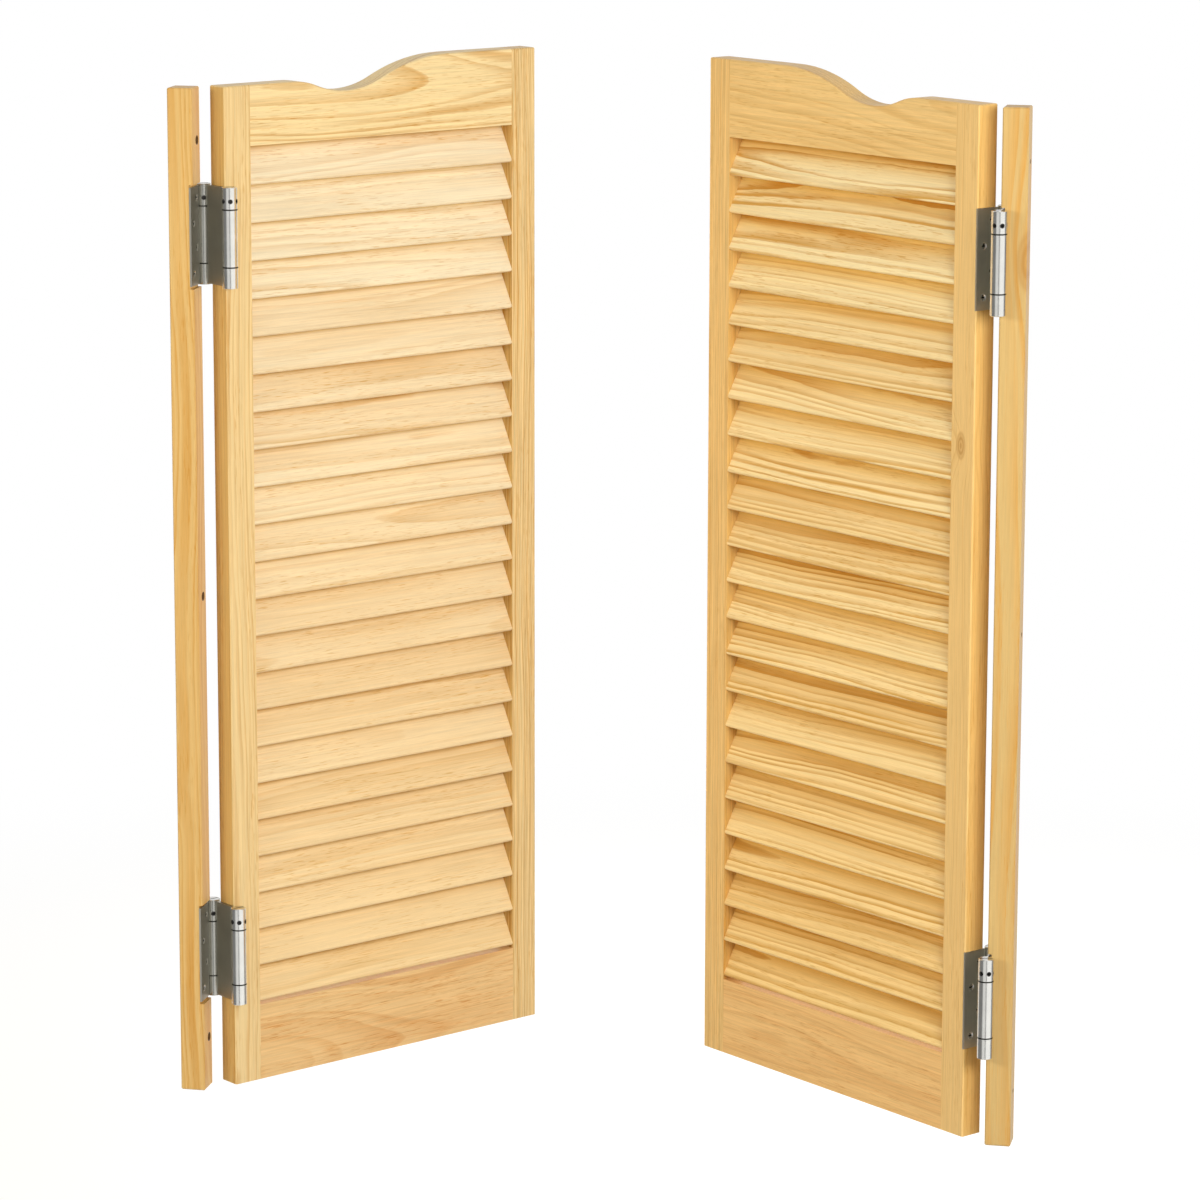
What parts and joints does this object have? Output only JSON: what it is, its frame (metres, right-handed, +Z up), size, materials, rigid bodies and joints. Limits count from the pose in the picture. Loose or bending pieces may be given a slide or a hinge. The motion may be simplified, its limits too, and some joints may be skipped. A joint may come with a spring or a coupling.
{
  "type": "cafe swinging doors",
  "caption": "Pair of louvred pine cafe doors with a scooped top edge, on double-action spring hinges, with wall battens; each door swings both ways and springs shut.",
  "frame": {"origin": "middle wall screw of the left batten, on the face that lies against the wall", "axes": "+X across the doorway from the left wall to the right wall, +Y through the doorway away from the side that the louvre noses face, +Z up"},
  "size_m": [0.874, 0.3673, 1.071],
  "materials": {
    "pine_uprights": "clear satin lacquer",
    "pine_rails": "clear satin lacquer",
    "pine_slats": "clear satin lacquer",
    "beech_dowels": "fluted, bare",
    "satin_steel": "satin, brushed along the barrels",
    "bright_steel": "bright turned",
    "screw_steel": "zinc plated",
    "spring_steel": "oiled, dark"
  },
  "bodies": {
    "jambs": {"left_batten": "pine_uprights", "left_batten_leaf_screws": "screw_steel", "left_lower_batten_leaf": "satin_steel", "left_lower_batten_spring": "spring_steel", "left_upper_batten_leaf": "satin_steel", "left_upper_batten_spring": "spring_steel", "right_batten": "pine_uprights", "right_batten_leaf_screws": "screw_steel", "right_lower_batten_leaf": "satin_steel", "right_lower_batten_spring": "spring_steel", "right_upper_batten_leaf": "satin_steel", "right_upper_batten_spring": "spring_steel"},
    "left_web": {"left_lower_batten_collar": "bright_steel", "left_lower_batten_pin": "bright_steel", "left_lower_door_collar": "bright_steel", "left_lower_door_pin": "bright_steel", "left_lower_web": "satin_steel", "left_upper_batten_collar": "bright_steel", "left_upper_batten_pin": "bright_steel", "left_upper_door_collar": "bright_steel", "left_upper_door_pin": "bright_steel", "left_upper_web": "satin_steel"},
    "left_door": {"left_bottom_rail": "pine_rails", "left_door_leaf_screws": "screw_steel", "left_dowels": "beech_dowels", "left_hinge_stile": "pine_uprights", "left_louvres": "pine_slats", "left_lower_door_leaf": "satin_steel", "left_lower_door_spring": "spring_steel", "left_strike_stile": "pine_uprights", "left_top_rail": "pine_rails", "left_upper_door_leaf": "satin_steel", "left_upper_door_spring": "spring_steel"},
    "right_web": {"right_lower_batten_collar": "bright_steel", "right_lower_batten_pin": "bright_steel", "right_lower_door_collar": "bright_steel", "right_lower_door_pin": "bright_steel", "right_lower_web": "satin_steel", "right_upper_batten_collar": "bright_steel", "right_upper_batten_pin": "bright_steel", "right_upper_door_collar": "bright_steel", "right_upper_door_pin": "bright_steel", "right_upper_web": "satin_steel"},
    "right_door": {"right_bottom_rail": "pine_rails", "right_door_leaf_screws": "screw_steel", "right_dowels": "beech_dowels", "right_hinge_stile": "pine_uprights", "right_louvres": "pine_slats", "right_lower_door_leaf": "satin_steel", "right_lower_door_spring": "spring_steel", "right_strike_stile": "pine_uprights", "right_top_rail": "pine_rails", "right_upper_door_leaf": "satin_steel", "right_upper_door_spring": "spring_steel"}
  },
  "joints": [
    {"name": "left_rear_barrels", "type": "hinge", "parent": "jambs", "child": "left_web", "pos_m": [0.026, 0.019, 0], "axis": [0, 0, 1], "range_deg": [-52, 38], "stiffness_Nm_per_rad": 0.8, "springref_deg": -52},
    {"name": "left_front_barrels", "type": "hinge", "parent": "left_web", "child": "left_door", "pos_m": [0.06272, -0.00969, 0], "axis": [0, 0, 1], "range_deg": [-90, 0], "stiffness_Nm_per_rad": 0.8},
    {"name": "right_front_barrels", "type": "hinge", "parent": "jambs", "child": "right_web", "pos_m": [0.848, -0.0276, 0], "axis": [0, 0, 1], "range_deg": [0, 90], "stiffness_Nm_per_rad": 0.8},
    {"name": "right_rear_barrels", "type": "hinge", "parent": "right_web", "child": "right_door", "pos_m": [0.848, 0.019, 0], "axis": [0, 0, 1], "range_deg": [-51.5, 38.5], "stiffness_Nm_per_rad": 0.8, "springref_deg": 38.5}
  ]
}
